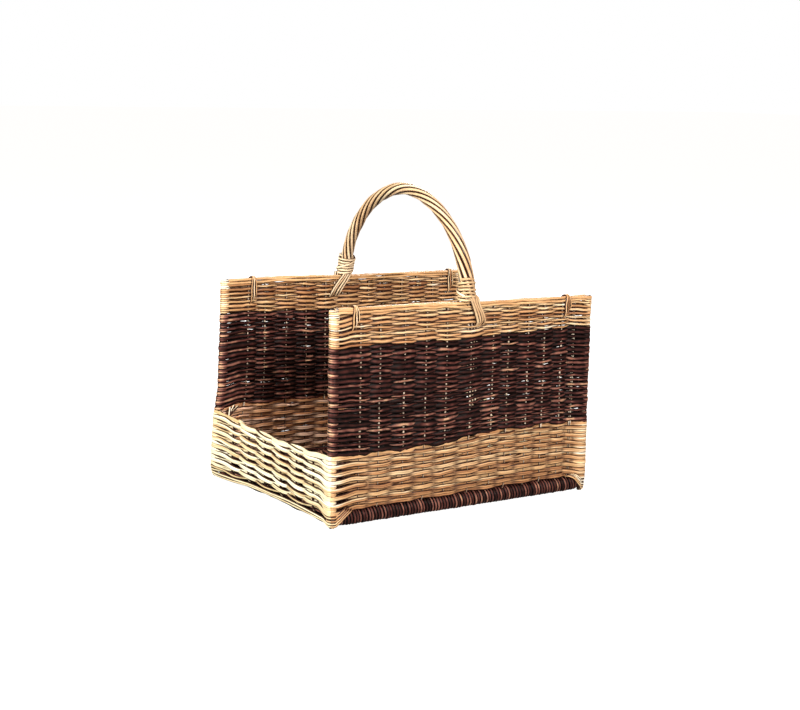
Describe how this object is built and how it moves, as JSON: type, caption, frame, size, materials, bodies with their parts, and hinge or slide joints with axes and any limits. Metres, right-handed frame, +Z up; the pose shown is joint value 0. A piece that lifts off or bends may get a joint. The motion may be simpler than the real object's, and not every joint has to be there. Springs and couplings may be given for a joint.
{
  "type": "wicker log basket",
  "caption": "Open-ended woven willow log basket: two high banded side panels, low dipped end walls, woven floor and a fixed roped arch handle.",
  "frame": {"origin": "on the floor under the middle of the basket, at the centre of its bounding box", "axes": "+X runs along the long side panels, +Y from the front panel to the back panel, +Z up through the handle"},
  "size_m": [0.5, 0.4132, 0.5098],
  "materials": {
    "natural_willow": "peeled willow weaving, satin, pale tan with cream lights",
    "brown_willow": "unpeeled willow weaving, dark reddish brown bark, satin",
    "willow_stick": "peeled willow sticks, matt tan",
    "handle_willow": "peeled willow rods, smooth satin, cream to tan"
  },
  "bodies": {
    "root": {"back_dark_band": "brown_willow", "back_lashing_left": "natural_willow", "back_lashing_right": "natural_willow", "back_lower_band": "natural_willow", "back_rim": "natural_willow", "back_stake_01": "willow_stick", "back_stake_02": "willow_stick", "back_stake_03": "willow_stick", "back_stake_04": "willow_stick", "back_stake_05": "willow_stick", "back_stake_06": "willow_stick", "back_stake_07": "willow_stick", "back_stake_08": "willow_stick", "back_stake_09": "willow_stick", "back_stake_10": "willow_stick", "back_stake_11": "willow_stick", "back_stake_12": "willow_stick", "back_upper_band": "natural_willow", "corner_post_back_left": "willow_stick", "corner_post_back_right": "willow_stick", "corner_post_front_left": "willow_stick", "corner_post_front_right": "willow_stick", "end_wall_left": "natural_willow", "end_wall_right": "natural_willow", "floor_edge_stick_back": "willow_stick", "floor_edge_stick_front": "willow_stick", "floor_rod_1": "willow_stick", "floor_rod_2": "willow_stick", "floor_rod_3": "willow_stick", "floor_rod_4": "willow_stick", "floor_rod_5": "willow_stick", "floor_rod_6": "willow_stick", "floor_weaving": "brown_willow", "front_dark_band": "brown_willow", "front_lashing_left": "natural_willow", "front_lashing_right": "natural_willow", "front_lower_band": "natural_willow", "front_rim": "natural_willow", "front_stake_01": "willow_stick", "front_stake_02": "willow_stick", "front_stake_03": "willow_stick", "front_stake_04": "willow_stick", "front_stake_05": "willow_stick", "front_stake_06": "willow_stick", "front_stake_07": "willow_stick", "front_stake_08": "willow_stick", "front_stake_09": "willow_stick", "front_stake_10": "willow_stick", "front_stake_11": "willow_stick", "front_stake_12": "willow_stick", "front_upper_band": "natural_willow", "handle_bow": "willow_stick", "handle_collar_back": "handle_willow", "handle_collar_front": "handle_willow", "handle_rope": "handle_willow", "handle_tails_back": "handle_willow", "handle_tails_front": "handle_willow"}
  },
  "joints": []
}
